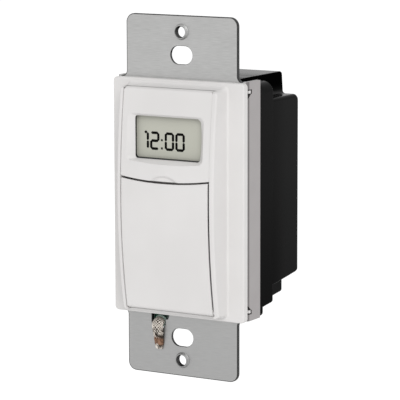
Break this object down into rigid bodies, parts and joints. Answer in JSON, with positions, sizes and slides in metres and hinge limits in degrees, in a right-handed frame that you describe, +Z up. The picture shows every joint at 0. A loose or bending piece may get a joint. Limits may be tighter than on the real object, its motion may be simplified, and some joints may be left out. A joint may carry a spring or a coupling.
{
  "type": "timer light switch",
  "caption": "Decorator in-wall digital timer switch: steel strap, white housing with a display above a hinged door over the keys, stepped black case and a short green ground lead.",
  "frame": {"origin": "middle of the box screw pattern, on the back face of the mounting strap", "axes": "+X to the right as seen from the room, +Y into the wall, +Z up"},
  "size_m": [0.044, 0.0483, 0.1064],
  "materials": {
    "galvanised_steel": "galvanised sheet with a fine brushed grain across it",
    "white_plastic": "satin white moulding",
    "key_plastic": "satin pale grey moulding",
    "black_rubber": "matt black",
    "display_glass": "grey-green liquid crystal display, backed so that it does not show through",
    "black_plastic": "matt black moulding",
    "circuit_board": "green solder mask",
    "screw_steel": "zinc plated",
    "contact_metal": "plated spring brass",
    "cell_can": "plain printed sleeve",
    "yellow_film": "yellow moulded box",
    "capacitor_can": "dark sleeve",
    "blue_disc": "blue dipped disc",
    "black_case": "satin black moulding",
    "copper": "bare copper strands",
    "green_insulation": "satin green insulation"
  },
  "bodies": {
    "housing": {"mounting_strap": "galvanised_steel", "front_housing": "white_plastic", "display_panel": "white_plastic", "lcd_gasket": "black_rubber", "lcd_glass": "display_glass", "lcd_holder": "black_plastic", "zebra_strips": "black_rubber", "control_board": "circuit_board", "tact_switches": "black_plastic", "microcontroller": "black_plastic", "board_screws": "screw_steel", "board_link": "contact_metal", "battery_tray": "key_plastic", "battery": "cell_can", "battery_contacts": "contact_metal", "power_board": "circuit_board", "relay": "black_plastic", "dropper_capacitor": "yellow_film", "filter_capacitors": "capacitor_can", "varistor": "blue_disc", "rear_housing": "black_case", "housing_screws": "screw_steel", "ground_strands": "copper", "ground_lead": "green_insulation", "lead_tie": "white_plastic", "lead_bare_end": "copper"},
    "door": {"door": "white_plastic"},
    "on_off_key": {"on_off_button": "key_plastic"},
    "mode_key": {"mode_button": "key_plastic"},
    "enter_key": {"enter_button": "key_plastic"},
    "minus_key": {"minus_button": "key_plastic"},
    "plus_key": {"plus_button": "key_plastic"},
    "reset_key": {"reset_button": "key_plastic"}
  },
  "joints": [
    {"name": "door_hinge", "type": "hinge", "parent": "housing", "child": "door", "pos_m": [0, -0.00664, -0.03185], "axis": [1, 0, 0], "range_deg": [-0.5, 110]},
    {"name": "on_off_press", "type": "slide", "parent": "housing", "child": "on_off_key", "axis": [0, 1, 0], "range_m": [0, 0.00035], "stiffness_N_per_m": 400},
    {"name": "mode_press", "type": "slide", "parent": "housing", "child": "mode_key", "axis": [0, 1, 0], "range_m": [0, 0.00035], "stiffness_N_per_m": 400},
    {"name": "enter_press", "type": "slide", "parent": "housing", "child": "enter_key", "axis": [0, 1, 0], "range_m": [0, 0.00035], "stiffness_N_per_m": 400},
    {"name": "minus_press", "type": "slide", "parent": "housing", "child": "minus_key", "axis": [0, 1, 0], "range_m": [0, 0.00035], "stiffness_N_per_m": 400},
    {"name": "plus_press", "type": "slide", "parent": "housing", "child": "plus_key", "axis": [0, 1, 0], "range_m": [0, 0.00035], "stiffness_N_per_m": 400},
    {"name": "reset_press", "type": "slide", "parent": "housing", "child": "reset_key", "axis": [0, 1, 0], "range_m": [0, 0.00035], "stiffness_N_per_m": 400}
  ]
}
